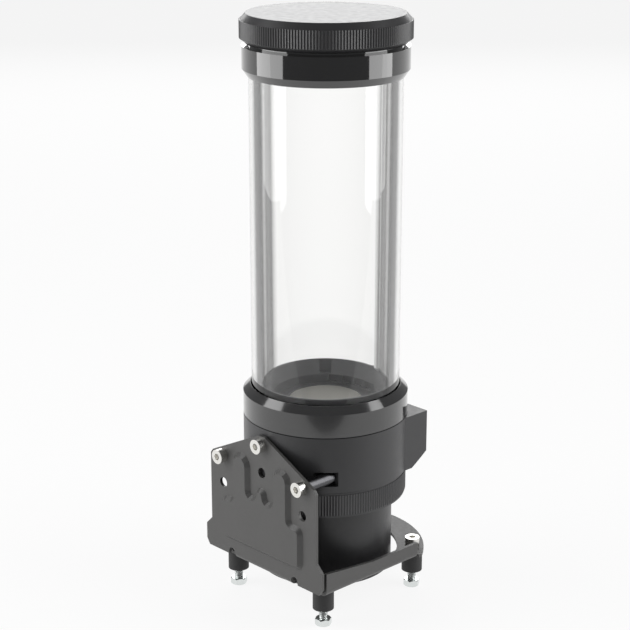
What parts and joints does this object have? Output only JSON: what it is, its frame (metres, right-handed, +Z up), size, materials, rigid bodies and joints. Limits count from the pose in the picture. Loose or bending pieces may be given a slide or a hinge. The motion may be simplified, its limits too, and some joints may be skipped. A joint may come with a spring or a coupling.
{
  "type": "coolant pump reservoir",
  "caption": "Coolant reservoir with a built-in pump: a clear tube between a knurled fill cap and a ported pump head, held by a bent steel bracket on adjustable rubber feet.",
  "frame": {"origin": "on the ground, in the middle of the footprint, 1.5 mm in front of the tank axis", "axes": "+Z up along the tank, -Y out of the bracket's upright plate, +Y out of the two ports"},
  "size_m": [0.081, 0.093, 0.2794],
  "materials": {
    "cap_black": "black anodised, satin",
    "collar_black": "black anodised, polished",
    "ring_black": "black anodised, polished",
    "head_black": "satin black acetal",
    "nut_black": "satin black anodised",
    "insert_grey": "dark grey moulded plastic",
    "glass": "clear borosilicate glass",
    "gasket": "black rubber",
    "mesh": "woven stainless mesh",
    "washer": "natural plastic",
    "motor_black": "black plastic",
    "socket_white": "natural nylon",
    "stainless": "stainless steel",
    "ceramic": "polished ceramic",
    "rotor": "moulded plastic round a magnet",
    "core_steel": "laminated steel",
    "copper": "enamelled copper wire",
    "board": "green solder mask",
    "powder_coat": "dark satin powder coat",
    "spacer": "black anodised",
    "screw_steel": "stainless steel",
    "foot_rubber": "black rubber",
    "zinc": "bright zinc plate"
  },
  "bodies": {
    "body": {"cap_collar": "collar_black", "upper_tube_gasket": "gasket", "glass_tube": "glass", "lower_tube_gasket": "gasket", "clamp_ring": "ring_black", "strainer_cup": "insert_grey", "strainer_mesh": "mesh", "pump_head": "head_black", "head_seal": "gasket", "motor_housing": "motor_black", "motor_end_cap": "motor_black", "power_socket": "socket_white", "separator_can": "stainless", "bearing_post": "stainless", "bearing_ball": "ceramic", "stator_core": "core_steel", "stator_coils": "copper", "control_board": "board", "bracket": "powder_coat", "side_spacers": "spacer", "top_spacer": "spacer", "bracket_screws": "screw_steel", "foot_screws": "screw_steel", "foot_front_left": "foot_rubber", "foot_front_right": "foot_rubber", "foot_rear_left": "foot_rubber", "foot_rear_right": "foot_rubber", "foot_studs": "zinc", "foot_nuts": "zinc"},
    "cap_seal": {"cap_seal": "gasket"},
    "fill_cap": {"fill_cap": "cap_black"},
    "nut_washer": {"nut_washer": "washer"},
    "pump_nut": {"pump_nut": "nut_black"},
    "impeller": {"impeller": "rotor"}
  },
  "joints": [
    {"name": "cap_rise", "type": "slide", "parent": "body", "child": "cap_seal", "axis": [0, 0, 1], "range_m": [0, 0.01]},
    {"name": "cap_turn", "type": "hinge", "parent": "cap_seal", "child": "fill_cap", "pos_m": [0, -0.0015, 0.27], "axis": [0, 0, 1], "range_deg": [0, 1800]},
    {"name": "nut_drop", "type": "slide", "parent": "body", "child": "nut_washer", "axis": [0, 0, -1], "range_m": [0, 0.006]},
    {"name": "nut_turn", "type": "hinge", "parent": "nut_washer", "child": "pump_nut", "pos_m": [0, -0.0015, 0.058], "axis": [0, 0, -1], "range_deg": [0, 1080]},
    {"name": "impeller_spin", "type": "hinge", "parent": "body", "child": "impeller", "pos_m": [0, -0.0015, 0.058], "axis": [0, 0, 1], "continuous": true}
  ],
  "couplings": [
    {"joint": "cap_rise", "follows": "cap_turn", "m_per_rad": 0.00031831},
    {"joint": "nut_drop", "follows": "nut_turn", "m_per_rad": 0.00031831}
  ]
}
